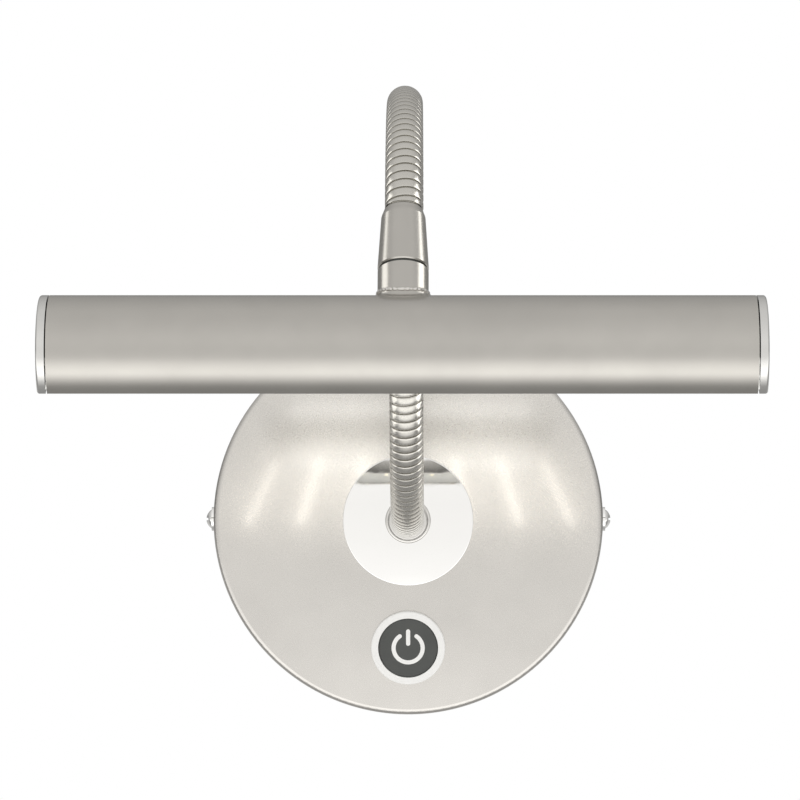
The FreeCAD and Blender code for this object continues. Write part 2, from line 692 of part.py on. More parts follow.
def arc_centre(forward, height, heading, radius, sign):
    lean = math.radians(heading)
    return forward - sign * radius * math.sin(lean), height + sign * radius * math.cos(lean)


def arc_end(forward, height, heading, radius, sign, swept):
    middle_f, middle_h = arc_centre(forward, height, heading, radius, sign)
    lean = math.radians(heading + swept)
    return middle_f + sign * radius * math.sin(lean), middle_h - sign * radius * math.cos(lean)


def bent_tube(link, start, length, outer, inner=0.0):
    """A tube that follows a link's bend from a distance past its start, over a length."""
    forward, height, heading, radius, sign, _ = link
    skip = math.degrees(start / radius) * sign
    at_f, at_h = arc_end(forward, height, heading, radius, sign, skip)
    middle_f, middle_h = arc_centre(forward, height, heading, radius, sign)
    section = Part.Face(Part.Wire([Part.makeCircle(outer)]))
    if inner:
        section = section.cut(Part.Face(Part.Wire([Part.makeCircle(inner)])))
    section = placed(section, facing(at_f, at_h, heading + skip))
    swept = -math.degrees(length / radius) * sign
    return section.revolve(V(0, -middle_f, middle_h), X_AXIS, swept)


def link_length(link):
    return link[5] * TURN_PITCH


def neck_link(link, is_last):
    """Bands and grooves over a bored core, a socket at the start and a ball or a spigot at the end."""
    length = link_length(link)
    core = bent_tube(link, 0, length, GROOVE_R)
    groove = (TURN_PITCH - BAND_LENGTH) / 2
    end = facing(*link_end(link))
    if is_last:
        pieces = [placed(disc(NECK_SPIGOT_R, -groove, NECK_SPIGOT_LENGTH), end)]
    else:
        pieces = [bent_tube(link, length, BALL_REACH, NECK_R)]
    for turn in range(link[5]):
        pieces.append(bent_tube(link, turn * TURN_PITCH + groove, BAND_LENGTH, NECK_R))
    solid = core.multiFuse(pieces)
    solid = solid.cut(bent_tube(link, -1, length + BALL_REACH + 2, NECK_BORE_R))
    start = V(0, -link[0], link[1])
    solid = solid.cut(Part.makeSphere(BALL_R + SOCKET_CLEARANCE, start))
    if not is_last:
        cutter = disc(CUTTER_R, 0, BALL_REACH + 2).cut(Part.makeSphere(BALL_R))
        solid = solid.cut(placed(cutter, end))
    return solid


def link_end(link):
    forward, height, heading, radius, sign, _ = link
    swept = math.degrees(link_length(link) / radius) * sign
    end_f, end_h = arc_end(forward, height, heading, radius, sign, swept)
    return end_f, end_h, heading + swept


def neck_cable(link):
    return bent_tube(link, CABLE_END_GAP, link_length(link) - 2 * CABLE_END_GAP, NECK_CABLE_R)


# ---- swivel ------------------------------------------------------------------------------------
LINKS, NECK_END = neck_links()
SWIVEL = facing(*NECK_END)
STUB_TOP = FERRULE_LENGTH + BUSH_FLANGE_T
TUBE_AXIS_AT = STUB_TOP + STUB_LENGTH + TUBE_R


def at_swivel(shape):
    return placed(shape, SWIVEL)


def neck_ferrule():
    shell = spun((
        (0, 0),
        (FERRULE_NECK_R - FERRULE_EDGE, 0),
        (FERRULE_NECK_R, FERRULE_EDGE),
        FERRULE_WAIST,
        FERRULE_KNEE,
        (FERRULE_SHOULDER_R, FERRULE_SHOULDER_AT),
        (FERRULE_END_R, FERRULE_LENGTH - FERRULE_EDGE),
        (FERRULE_END_R - FERRULE_EDGE, FERRULE_LENGTH),
        (0, FERRULE_LENGTH),
    ))
    hollows = [
        disc(FERRULE_SPIGOT_BORE_R, -1, FERRULE_SPIGOT_DEPTH),
        disc(FERRULE_CAVITY_R - 1.0, FERRULE_SPIGOT_DEPTH - 1, PIVOT_TOP),
        disc(FERRULE_CAVITY_R, PIVOT_TOP - 1, FERRULE_FLOOR),
        disc(FERRULE_MOUTH_R, FERRULE_FLOOR - 1, FERRULE_LENGTH + 1),
    ]
    return at_swivel(shell.cut(hollows))


def swivel_bush():
    sleeve = ring(BUSH_R, BUSH_BORE_R, FERRULE_FLOOR, FERRULE_LENGTH + 0.1)
    flange = ring(BUSH_FLANGE_R, BUSH_BORE_R, FERRULE_LENGTH, STUB_TOP)
    return at_swivel(sleeve.fuse(flange).removeSplitter())


def swivel_pivot():
    tail = TUBE_AXIS_AT - TUBE_INNER_R + HEAD_NUT_SEAT + HEAD_NUT_T + PIVOT_TAIL
    return at_swivel(ring(PIVOT_R, PIVOT_BORE_R, PIVOT_TOP, tail))


def wave_washer():
    top = SWIVEL_NUT_TOP + SWIVEL_NUT_T
    return at_swivel(ring(WAVE_WASHER_R, PIVOT_R + 0.1, top, FERRULE_FLOOR))


def swivel_nut():
    low = SWIVEL_NUT_TOP
    nut = hex_prism(SWIVEL_NUT_AF, low, low + SWIVEL_NUT_T)
    return at_swivel(nut.cut(disc(PIVOT_R + THREAD_GAP, low - 1, low + SWIVEL_NUT_T + 1)))


def tube_cylinder(radius, half_length):
    """A cylinder along X on the lamp tube's axis, in swivel axes."""
    return Part.makeCylinder(radius, 2 * half_length, V(-half_length, 0, TUBE_AXIS_AT), X_AXIS)


def swivel_stub():
    """The short tube welded on the lamp tube, with the weld's fillet round its foot."""
    body = tube_cylinder(TUBE_R, 30).fuse(disc(STUB_R, STUB_TOP, TUBE_AXIS_AT))
    body = round_edges(body, STUB_WELD_R, is_weld_edge)
    stub = body.cut(tube_cylinder(TUBE_R, 31))
    return at_swivel(stub.cut(disc(PIVOT_R + 0.03, STUB_TOP - 1, TUBE_AXIS_AT)))


def is_weld_edge(edge):
    point = edge.valueAt(0.5 * (edge.FirstParameter + edge.LastParameter))
    on_stub = abs(math.hypot(point.x, point.y) - STUB_R) < 0.02
    return on_stub and point.z > STUB_TOP + 1 and edge.Length > STUB_R


def head_lock_nut():
    low = TUBE_AXIS_AT - TUBE_INNER_R + HEAD_NUT_SEAT
    nut = hex_prism(SWIVEL_NUT_AF, low, low + HEAD_NUT_T)
    return at_swivel(nut.cut(disc(PIVOT_R + THREAD_GAP, low - 1, low + HEAD_NUT_T + 1)))


# ---- lamp head ---------------------------------------------------------------------------------
def head_place():
    heading = math.radians(NECK_END[2])
    forward = NECK_END[0] + TUBE_AXIS_AT * math.cos(heading)
    height = NECK_END[1] + TUBE_AXIS_AT * math.sin(heading)
    return facing(forward, height, OPENING_FACES)


HEAD = head_place()


def at_head(shape):
    return placed(shape, HEAD)


def along_tube(radius, x0, x1):
    return Part.makeCylinder(radius, x1 - x0, V(x0, 0, 0), X_AXIS)


def below_lips(x0, x1):
    return block(x0 - 1, x1 + 1, -2 * TUBE_R, 2 * TUBE_R, -2 * TUBE_R, TUBE_LIP_Z)


def lamp_tube():
    half = TUBE_LENGTH / 2
    shell = along_tube(TUBE_R, -half, half).cut(along_tube(TUBE_INNER_R, -half - 1, half + 1))
    shell = shell.cut(below_lips(-half, half))
    for high, low, half_gap in TUBE_RIBS:
        ribs = block(-half, half, -TUBE_R, TUBE_R, low, high).common(
            along_tube(TUBE_INNER_R + RIB_OVERLAP, -half, half))
        shell = shell.fuse(ribs.cut(block(-half - 1, half + 1, -half_gap, half_gap, low - 1, high + 1)))
    pivot_hole = placed(disc(PIVOT_R + 0.1, STUB_TOP, TUBE_AXIS_AT - 5), SWIVEL)
    return at_head(shell.removeSplitter()).cut(pivot_hole)


def end_cap(side):
    """A D-shaped plate over one end of the tube, with a plug inside it."""
    face = TUBE_LENGTH / 2 + CAP_GAP
    plate = along_tube(TUBE_R, face, face + CAP_T).cut(below_lips(face, face + CAP_T))
    plate = round_edges(plate, CAP_EDGE_R, lambda edge: all(
        abs(vertex.X - face - CAP_T) < 0.01 for vertex in edge.Vertexes))
    plug_r = TUBE_INNER_R - CAP_PLUG_CLEARANCE
    inner_x = TUBE_LENGTH / 2 - CAP_PLUG
    plug = along_tube(plug_r, inner_x, face + 0.5)
    keep = block(inner_x - 1, face + 2, -CAP_PLUG_HALF_Y, CAP_PLUG_HALF_Y, CAP_PLUG_LOW, CAP_PLUG_HIGH)
    cap = plate.fuse(plug.common(keep))
    if side < 0:
        cap = cap.mirror(ORIGIN, X_AXIS)
    return at_head(cap)


def led_carrier():
    half = INSERT_LENGTH / 2
    bar = block(-half, half, -CARRIER_HALF_Y, CARRIER_HALF_Y, CARRIER_BACK - CARRIER_T, CARRIER_BACK)
    bar = bar.common(along_tube(TUBE_INNER_R - CAP_PLUG_CLEARANCE, -half, half))
    holes = [Part.makeCylinder(HEAD_CABLE_HOLE_R, 2 * CARRIER_T, V(HEAD_CABLE_X, 0, -1))]
    for x_mid in BOARD_SCREW_X:
        holes.append(Part.makeCylinder(BOARD_SCREW_R, 2 * CARRIER_T, V(x_mid, BOARD_SCREW_Y, -1)))
    return at_head(bar.cut(holes))


def led_board():
    top = CARRIER_BACK - CARRIER_T
    board = block(-BOARD_HALF_X, BOARD_HALF_X, -BOARD_HALF_Y, BOARD_HALF_Y, top - BOARD_T, top)
    holes = [Part.makeCylinder(HEAD_CABLE_HOLE_R, 4, V(HEAD_CABLE_X, 0, top - 2))]
    for x_mid in BOARD_SCREW_X:
        holes.append(Part.makeCylinder(BOARD_SCREW_R, 4, V(x_mid, BOARD_SCREW_Y, top - 2)))
    return at_head(board.cut(holes))


def led_chips():
    front = CARRIER_BACK - CARRIER_T - BOARD_T
    half = LED_SIZE / 2
    chips = []
    for k in range(LED_COUNT):
        x_mid = (k - (LED_COUNT - 1) / 2) * LED_PITCH
        chips.append(at_head(block(x_mid - half, x_mid + half, -half, half, front - LED_T, front)))
    return Part.makeCompound(chips)


def board_screws():
    front = CARRIER_BACK - CARRIER_T - BOARD_T
    screws = []
    for x_mid in BOARD_SCREW_X:
        place = V(x_mid, BOARD_SCREW_Y, front - BOARD_SCREW_HEAD_T)
        head = Part.makeCylinder(BOARD_SCREW_HEAD_R, BOARD_SCREW_HEAD_T, place)
        shank = Part.makeCylinder(BOARD_SCREW_R - 0.05, BOARD_SCREW_HEAD_T + BOARD_T + CARRIER_T - 0.3, place)
        screws.append(at_head(head.fuse(shank)))
    return Part.makeCompound(screws)


def lens_strip():
    half = INSERT_LENGTH / 2
    slab = block(-half, half, -LENS_HALF_Y, LENS_HALF_Y, LENS_TOP - LENS_T, LENS_TOP)
    return at_head(slab.common(along_tube(TUBE_INNER_R - CAP_PLUG_CLEARANCE, -half, half)))


def head_cable():
    """From inside the pivot's bore, through the carrier's hole, to the LED board."""
    def in_row(placement, x, y, z):
        point = placement.multVec(V(x, y, z))
        return (point.x, point.y, point.z)
    tail = TUBE_AXIS_AT - TUBE_INNER_R + HEAD_NUT_SEAT + HEAD_NUT_T + PIVOT_TAIL
    straight = [in_row(SWIVEL, 0, 0, PIVOT_TOP + (tail - PIVOT_TOP) * step / 8) for step in range(9)]
    bends = [in_row(HEAD, *point) for point in HEAD_CABLE_BENDS]
    return pipe(straight + [in_row(SWIVEL, 1, 0, tail + PIVOT_TAIL)] + bends, WIRE_R)


# ---- write every piece -------------------------------------------------------------------------
def main():
    os.makedirs("parts", exist_ok=True)
    makers = (
        canopy_cover, wall_bracket, side_screws, rosette, neck_base_fitting, lock_washer, hex_nut,
        switch_bezel, switch_ring_nut, switch_housing, switch_board, switch_spring, button_cap, power_symbol,
        driver_case, driver_lid, driver_board, driver_pad, terminal_block, terminal_screws, earth_screw,
        supply_lead, led_lead, switch_lead, neck_ferrule, swivel_bush, swivel_pivot, wave_washer, swivel_nut,
        swivel_stub, head_lock_nut, lamp_tube, led_carrier, led_board, led_chips, board_screws, lens_strip,
        head_cable,
    )
    for maker in makers:
        save(maker(), maker.__name__)
    save(end_cap(1), "end_cap_right")
    save(end_cap(-1), "end_cap_left")
    for number, link in enumerate(LINKS, 1):
        save(neck_link(link, number == len(LINKS)), "neck_link_%02d" % number)
        save(neck_cable(link), "neck_cable_%02d" % number)


main()
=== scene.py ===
import json
import math

import bmesh
import bpy
import numpy as np
from mathutils import Matrix, Vector

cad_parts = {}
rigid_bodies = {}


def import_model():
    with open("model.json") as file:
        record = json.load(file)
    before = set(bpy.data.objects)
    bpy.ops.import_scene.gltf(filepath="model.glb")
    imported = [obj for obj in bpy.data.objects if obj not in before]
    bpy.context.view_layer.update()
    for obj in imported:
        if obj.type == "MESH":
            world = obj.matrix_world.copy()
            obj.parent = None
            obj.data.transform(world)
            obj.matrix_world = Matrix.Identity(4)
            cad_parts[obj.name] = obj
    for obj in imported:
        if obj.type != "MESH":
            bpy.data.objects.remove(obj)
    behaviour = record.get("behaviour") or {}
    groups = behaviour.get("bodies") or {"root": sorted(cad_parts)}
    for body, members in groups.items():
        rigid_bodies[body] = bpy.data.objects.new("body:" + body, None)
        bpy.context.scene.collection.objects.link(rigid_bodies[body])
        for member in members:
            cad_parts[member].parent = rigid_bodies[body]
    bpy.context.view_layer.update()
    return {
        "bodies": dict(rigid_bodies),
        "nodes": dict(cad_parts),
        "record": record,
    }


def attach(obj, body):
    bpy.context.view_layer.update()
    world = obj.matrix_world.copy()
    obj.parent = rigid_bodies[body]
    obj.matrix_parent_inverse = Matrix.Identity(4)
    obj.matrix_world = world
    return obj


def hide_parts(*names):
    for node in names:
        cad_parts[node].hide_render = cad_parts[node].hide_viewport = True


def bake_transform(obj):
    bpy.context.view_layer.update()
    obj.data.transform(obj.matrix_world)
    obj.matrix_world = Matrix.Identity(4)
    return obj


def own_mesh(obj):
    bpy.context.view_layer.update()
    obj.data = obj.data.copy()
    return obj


# Looks of the picture light. Lengths are in millimetres unless a name says otherwise; MM turns them
# into the frame's metres. X points to the viewer's right, Y into the wall and Z up.
MM = 0.001
# edges that turn more than this many degrees are drawn sharp
SHARP_ANGLE = 32
HOSE_SHARP_ANGLE = 50
SPRING_SHARP_ANGLE = 60
BEAD_SHARP_ANGLE = 80
# points closer than this, in metres, become one
WELD_DISTANCE = 1e-7
LATHE_AROUND = 192
ROUNDING_STEPS = 6

# ---- canopy --------------------------------------------------------------------------------------
CANOPY_R = 60.0
CANOPY_DEPTH = 25.0
CANOPY_CROWN = 5.3
DOME_R = (CANOPY_R**2 + CANOPY_CROWN**2) / (2 * CANOPY_CROWN)
DOME_CENTRE = CANOPY_DEPTH - DOME_R

# ---- gooseneck -----------------------------------------------------------------------------------
NECK_START = 32.5
TURN_PITCH = 2.5
NECK_BORE_R = 3.2
# each run: links, turns in a link, bend radius, +1 curls up and -1 curls down
NECK_RUNS = ((4, 11, 62.26, 1), (3, 9, 38.21, -1), (2, 13, 59.07, -1))
HOSE_AROUND = 96
HOSE_TURNED = np.linspace(0, 2 * math.pi, HOSE_AROUND, endpoint=False)
BLENDED_BACKWARDS = (4,)
# one turn of the hose in section: distance along the neck, radius
HOSE_TURN = ((0.0, 4.45), (0.32, 4.45), (0.34, 4.86), (0.42, 4.95), (0.6, 5.0), (1.2, 5.01), (1.95, 5.0),
             (2.28, 4.97), (2.4, 4.9), (2.42, 4.6))
# the steps of that section that lie in the groove between two turns, whose faces take the painted groove
# shade
GROOVE_STEPS = (0, 1, 8, 9)
# the bare core shows before the ferrule, and goes on inside it
CORE_R = 4.5
CORE_SHOWS = 0.4
CORE_INSIDE = 2.0

# ---- foot of the neck ----------------------------------------------------------------------------
ROSETTE_CROWN = 26.9
STEM_BACK = 16.0
STEM_R = 5.0
FITTING_BORE_R = 2.4
FLANGE_R = 7.0
FLANGE_T = 2.0
COLLAR_R = 5.75
STEM_BEVEL = 0.3
COLLAR_FLARE = 0.5
COLLAR_STEP = 0.6
FLANGE_ROUNDS = (0.2, 0.7)
COLLAR_ROUNDS = (0.3, 0.3, 0.4)

# ---- head ----------------------------------------------------------------------------------------
STUB_TOP = 18.9
STUB_LENGTH = 8.9
STUB_R = 6.8
BEAD_R = 0.55
BEAD_OUT = -0.15
BEAD_UP = 1.9
BEAD_AROUND = 240
BEAD_SECTION = 16
# waves in the bead: how many round it, share of its radius, phase
BEAD_LUMPS = ((37, 0.16, 0.4), (23, 0.12, 1.9), (61, 0.07, 2.6), (9, 0.08, 0.9))
TUBE_R = 14.5
LED_COUNT = 7
LED_PITCH = 27.0
# each LED's light as a strip, seen only by the canopy: forward and height of its two ends, width
STRIP_NEAR = (170.0, 34.0)
STRIP_FAR = (112.0, -5.0)
STRIP_WIDTH = 4.5
STRIP_POWER = 0.0033
# the soft glow that the head's inside throws on the canopy's top: forward, height, sizes
GLOW_AT = (200.0, 52.0)
GLOW_SIZE = (165.0, 46.0)
GLOW_POWER = 0.029
# two upright lights beside the light that only the neck and its fittings see: distance, sizes, powers
SIDE_LIGHT_X = 1000.0
SIDE_LIGHT_HEIGHT = 100.0
SIDE_LIGHT_SIZE = (700.0, 1200.0)
SIDE_LIGHT_POWERS = (4.0, 6.2)
WARM = (1.0, 0.93, 0.82)
WHITE = (1.0, 0.985, 0.95)

# ---- push switch's spring, lengths along the dome's normal at the switch ------------------------------
SWITCH_DROP = 39.1
SPRING_COIL_R = 5.5
SPRING_WIRE_R = 0.3
SPRING_TURNS = 5
SPRING_LOW = -11.05
SPRING_HIGH = -1.95
SPRING_AROUND = 48
SPRING_SECTION = 12

# ---- materials -----------------------------------------------------------------------------------
TRACKS_PER_METRE = 350.0
# where a board's raised track ends and its flat ground starts, as a share of a cell
TRACK_EDGE = (0.06, 0.1)
PLASTIC_SPREAD = 0.08
# how much of the frosted lens is solid
LENS_SHARE = 0.45
LENS_GLOW = 0.05

# ---- camera: level, a little to the right, far off with a long lens so that perspective is weak ------
CAMERA_X = 10.0
CAMERA_DISTANCE = 1300.0
CAMERA_HEIGHT = 36.9
CAMERA_LENS = 187.2
CAMERA_SHIFT_X = -0.0509
SENSOR = 36.0
# nearest and farthest distance that the camera sees, in metres
CAMERA_CLIP = (0.05, 20.0)

# ---- floor, in metres ------------------------------------------------------------------------------
FLOOR_HALF = 1.4
FLOOR_HEIGHT = -0.32
# the distances from the middle between which it fades into the background
FLOOR_FADE = (0.45, 1.25)
FLOOR_GLOW = 0.22

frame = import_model()


# ---- helpers ---------------------------------------------------------------------------------------
def facing(forward, height, angle):
    """The matrix whose local Z points forward of the wall, raised by an angle in degrees."""
    lean = math.radians(angle)
    x_axis = Vector((1, 0, 0))
    z_axis = Vector((0, -math.cos(lean), math.sin(lean)))
    y_axis = z_axis.cross(x_axis)
    matrix = Matrix((x_axis, y_axis, z_axis)).transposed().to_4x4()
    matrix.translation = Vector((0, -forward, height)) * MM
    return matrix


WALL = facing(0, 0, 0)


def mesh_object(name, points, faces, sharp_angle=SHARP_ANGLE, second=()):
    """A shaded mesh from points in metres; points that coincide become one. The faces whose numbers
    are in second take the piece's second material."""
    mesh = bpy.data.meshes.new(name)
    mesh.from_pydata([tuple(point) for point in points], [], faces)
    for number in second:
        mesh.polygons[number].material_index = 1
    work = bmesh.new()
    work.from_mesh(mesh)
    bmesh.ops.remove_doubles(work, verts=work.verts, dist=WELD_DISTANCE)
    bmesh.ops.recalc_face_normals(work, faces=work.faces)
    work.to_mesh(mesh)
    work.free()
    mesh.shade_smooth()
    mesh.set_sharp_from_angle(angle=math.radians(sharp_angle))
    made = bpy.data.objects.new(name, mesh)
    bpy.context.scene.collection.objects.link(made)
    return made


def lathe(name, outline, place, around=LATHE_AROUND):
    """A solid turned about local Z from a closed outline of (radius, height) points."""
    points = []
    for radius, height in outline:
        for k in range(around):
            turn = 2 * math.pi * k / around
            points.append(place @ (Vector((radius * math.cos(turn), radius * math.sin(turn), height)) * MM))
    faces = []
    rows = len(outline)
    for row in range(rows):
        after = (row + 1) % rows
        for k in range(around):
            step = (k + 1) % around
            faces.append((row * around + k, row * around + step, after * around + step, after * around + k))
    return mesh_object(name, points, faces)


def rounded(corners, steps=ROUNDING_STEPS):
    """An outline of (radius, height) points from corners of (radius, height, rounding)."""
    outline = []
    for k, (radius, height, rounding) in enumerate(corners):
        here = Vector((radius, height))
        if rounding <= 0:
            outline.append((radius, height))
            continue
        back = (Vector(corners[k - 1][:2]) - here).normalized()
        onward = (Vector(corners[(k + 1) % len(corners)][:2]) - here).normalized()
        half = back.angle(onward) / 2
        centre = here + (back + onward).normalized() * (rounding / math.sin(half))
        reach = rounding / math.tan(half)
        first = here + back * reach - centre
        last = here + onward * reach - centre
        swept = first.angle(last)
        for step in range(steps + 1):
            share = step / steps
            arm = (first * math.sin((1 - share) * swept) + last * math.sin(share * swept)) / math.sin(swept)
            outline.append(tuple(centre + arm))
    return outline


# ---- gooseneck --------------------------------------------------------------------------------------
def neck_links():
    """Each link's start (forward, height, heading), bend radius, sign and the distance where it starts."""
    links = []
    forward, height, heading, reached = NECK_START, 0.0, 0.0, 0.0
    for count, turns, radius, sign in NECK_RUNS:
        for _ in range(count):
            links.append((forward, height, heading, radius, sign, reached))
            length = turns * TURN_PITCH
            turned = heading + sign * length / radius
            forward += sign * radius * (math.sin(turned) - math.sin(heading))
            height -= sign * radius * (math.cos(turned) - math.cos(heading))
            heading = turned
            reached += length
    return links, (forward, height, heading, reached)


LINKS, NECK_END = neck_links()
SWIVEL = facing(NECK_END[0], NECK_END[1], math.degrees(NECK_END[2]))


def neck_axis(distance):
    """Arrays of forward, height and heading of the neck's centre line at distances from its start."""
    table = np.array(LINKS)
    index = np.clip(np.searchsorted(table[:, 5], distance, side="right") - 1, 0, len(LINKS) - 1)
    forward, height, heading, radius, sign, start = np.moveaxis(table[index], -1, 0)
    turned = heading + sign * (distance - start) / radius
    forward = forward + sign * radius * (np.sin(turned) - np.sin(heading))
    height = height - sign * radius * (np.cos(turned) - np.cos(heading))
    return forward, height, turned


def neck_points(distance, turn, radius):
    """Points on a tube round the neck's centre line, in metres."""
    forward, height, heading = neck_axis(distance)
    outward = radius * np.sin(turn)
    x = radius * np.cos(turn)
    y = -forward + outward * np.sin(heading)
    z = height + outward * np.cos(heading)
    return np.stack([x, y, z], axis=-1) * MM


def hose_radius(distance, turn):
    """The wound band's radius: one turn's section, repeated along a helix."""
    lead = np.mod(distance - TURN_PITCH * turn / (2 * math.pi), TURN_PITCH)
    section = np.array(HOSE_TURN + ((TURN_PITCH, HOSE_TURN[0][1]),))
    return np.interp(lead, section[:, 0], section[:, 1])


def hose_outside(low, high):
    """The wound outside of a length of hose: its points, its faces, and which faces lie in the groove and
    take the painted groove shade.
    """
    stations = np.array([station for station, _ in HOSE_TURN])
    per_turn = len(stations)
    first_turn = math.floor(low / TURN_PITCH) - 1
    last_turn = math.ceil(high / TURN_PITCH)
    rows = np.concatenate([k * TURN_PITCH + stations for k in range(first_turn, last_turn + 1)])
    distance = rows[:, None] + TURN_PITCH * HOSE_TURNED[None, :] / (2 * math.pi)
    distance = np.clip(distance, low, high)
    turn = np.broadcast_to(HOSE_TURNED, distance.shape)
    points = neck_points(distance, turn, hose_radius(distance, turn)).reshape(-1, 3).tolist()
    faces, shaded_faces = [], []
    for row in range(len(rows) - 1):
        for k in range(HOSE_AROUND):
            face = hose_face(row, k, len(rows), per_turn)
            if face is None:
                continue
            spans = [distance.flat[corner] for corner in face]
            if min(spans) < high and max(spans) > low:
                if row % per_turn in GROOVE_STEPS:
                    shaded_faces.append(len(faces))
                faces.append(face)
    return points, faces, shaded_faces


def hose_face(row, k, rows, per_turn):
    """One face of the helix. The last face of a row joins the first points of the next turn."""
    a, b = row * HOSE_AROUND + k, (row + 1) * HOSE_AROUND + k
    if k + 1 < HOSE_AROUND:
        return a, a + 1, b + 1, b
    if row + 1 + per_turn < rows:
        seam = (row + per_turn) * HOSE_AROUND
        return a, seam, seam + HOSE_AROUND, b
    return None


def hose_rings(low, high, core):
    """The rings that close a length and line its bore, and how many of them come before the bare core. The
    bare core and the step at the hose's end take the painted shade.
    """
    bore, bare = np.full(HOSE_AROUND, NECK_BORE_R), np.full(HOSE_AROUND, CORE_R)
    steps = max(2, int((high - low) / TURN_PITCH))
    rings = [(low, hose_radius(low, HOSE_TURNED))]
    rings += [(station, bore) for station in np.linspace(low, high + core, steps + 1)]
    bright = len(rings)
    if core:
        rings += [(high + core, bare), (high, bare)]
    rings.append((high, hose_radius(high, HOSE_TURNED)))
    return rings, bright


def hose_piece(name, low, high, core=0.0):
    """A length of hose from one distance along the neck to another, bored and closed at both ends.
    Its bare core can go on past the far end."""
    points, faces, shaded_faces = hose_outside(low, high)
    rings, bright = hose_rings(low, high, core)
    base = len(points)
    for station, radius in rings:
        points.extend(neck_points(np.full(HOSE_AROUND, station), HOSE_TURNED, radius).tolist())
    for row in range(len(rings) - 1):
        for k in range(HOSE_AROUND):
            after = (k + 1) % HOSE_AROUND
            a, b = base + row * HOSE_AROUND, base + (row + 1) * HOSE_AROUND
            # the bare core and the step at the hose's end take the painted shade
            if row >= bright:
                shaded_faces.append(len(faces))
            faces.append((a + after, a + k, b + k, b + after))
    return mesh_object(name, points, faces, HOSE_SHARP_ANGLE, shaded_faces)


def build_hose():
    """Nine lengths that each span one hinge and stay where they are made, and a tenth that rides on the
    last link.
    """
    starts = [link[5] for link in LINKS] + [NECK_END[3]]
    middles = [(starts[k] + starts[k + 1]) / 2 for k in range(len(LINKS))]
    bodies = ["wall"] + ["neck_%02d" % (k + 1) for k in range(len(LINKS))]
    low = 0.0
    pieces = []
    for k, high in enumerate(middles):
        piece = hose_piece("gooseneck_%02d" % (k + 1), low, high)
        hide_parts("neck_link_%02d" % (k + 1))
        if k in BLENDED_BACKWARDS:
            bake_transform(piece)
        else:
            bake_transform(piece)
        pieces.append(piece)
        low = high
    end = NECK_END[3] - CORE_SHOWS
    tail = hose_piece("gooseneck_%02d" % (len(middles) + 1), low, end, CORE_SHOWS + CORE_INSIDE)
    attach(tail, bodies[-1])
    pieces.append(tail)
    return pieces


def switch_spring():
    """The coil under the button, made at one length on the wall; the real coil shortens as the button goes
    in.
    """
    tilt = math.asin(SWITCH_DROP / DOME_R)
    middle = Vector((0, -SWITCH_DROP, DOME_CENTRE + DOME_R * math.cos(tilt))) * MM
    place = WALL @ Matrix.Translation(middle) @ Matrix.Rotation(tilt, 4, "X")
    count = SPRING_TURNS * SPRING_AROUND
    points, faces = [], []
    for step in range(count + 1):
        turn = 2 * math.pi * step / SPRING_AROUND
        height = SPRING_LOW + (SPRING_HIGH - SPRING_LOW) * step / count
        for k in range(SPRING_SECTION):
            lean = 2 * math.pi * k / SPRING_SECTION
            reach = SPRING_COIL_R + SPRING_WIRE_R * math.cos(lean)
            rise = SPRING_WIRE_R * math.sin(lean)
            point = Vector((reach * math.cos(turn), reach * math.sin(turn), height + rise))
            points.append(place @ (point * MM))
    for step in range(count):
        for k in range(SPRING_SECTION):
            a, b = step * SPRING_SECTION + k, step * SPRING_SECTION + (k + 1) % SPRING_SECTION
            faces.append((a, b, b + SPRING_SECTION, a + SPRING_SECTION))
    faces.append(tuple(range(SPRING_SECTION)))
    faces.append(tuple(range(count * SPRING_SECTION, (count + 1) * SPRING_SECTION)))
    made = mesh_object("button_spring", points, faces, SPRING_SHARP_ANGLE)
    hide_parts("switch_spring")
    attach(made, "wall")
    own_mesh(made)
    return made


def base_fitting():
    """The flange and collar that hold the neck's foot, over the threaded stem."""
    back, front = ROSETTE_CROWN, ROSETTE_CROWN + FLANGE_T
    flare_round, step_round, mouth_round = COLLAR_ROUNDS
    outline = rounded((
        (FITTING_BORE_R, STEM_BACK, 0),
        (STEM_R - STEM_BEVEL, STEM_BACK, 0),
        (STEM_R, STEM_BACK + STEM_BEVEL, 0),
        (STEM_R, back, 0),
        (FLANGE_R, back, FLANGE_ROUNDS[0]),
        (FLANGE_R, front, FLANGE_ROUNDS[1]),
        (COLLAR_R + COLLAR_FLARE, front, flare_round),
        (COLLAR_R, front + COLLAR_STEP, step_round),
        (COLLAR_R, NECK_START, mouth_round),
        (FITTING_BORE_R, NECK_START, 0),
    ))
    made = lathe("neck_foot", outline, WALL)
    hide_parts("neck_base_fitting")
    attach(made, "wall")
    return made


def weld_bead():
    """The uneven weld where the stub meets the lamp tube, along the saddle curve between them."""
    axis_at = STUB_TOP + STUB_LENGTH + TUBE_R
    turn = np.linspace(0, 2 * math.pi, BEAD_AROUND, endpoint=False)[:, None]
    around = np.linspace(0, 2 * math.pi, BEAD_SECTION, endpoint=False)[None, :]
    lumps = sum(share * np.sin(count * turn + shift) for count, share, shift in BEAD_LUMPS)
    size = BEAD_R * (1 + lumps)
    reach = STUB_R + BEAD_OUT + size * np.cos(around)
    x, y = reach * np.cos(turn), reach * np.sin(turn)
    z = axis_at - np.sqrt(TUBE_R**2 - (STUB_R * np.sin(turn))**2) - BEAD_UP + size * np.sin(around)
    spots = np.stack([x, y, z], axis=-1).reshape(-1, 3).tolist()
    points = [SWIVEL @ (Vector(spot) * MM) for spot in spots]
    faces = []
    for row in range(BEAD_AROUND):
        after = (row + 1) % BEAD_AROUND
        for k in range(BEAD_SECTION):
            step = (k + 1) % BEAD_SECTION
            faces.append((row * BEAD_SECTION + k, after * BEAD_SECTION + k,
                          after * BEAD_SECTION + step, row * BEAD_SECTION + step))
    made = mesh_object("weld_bead", points, faces, BEAD_SHARP_ANGLE)
    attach(made, "head")
    return made


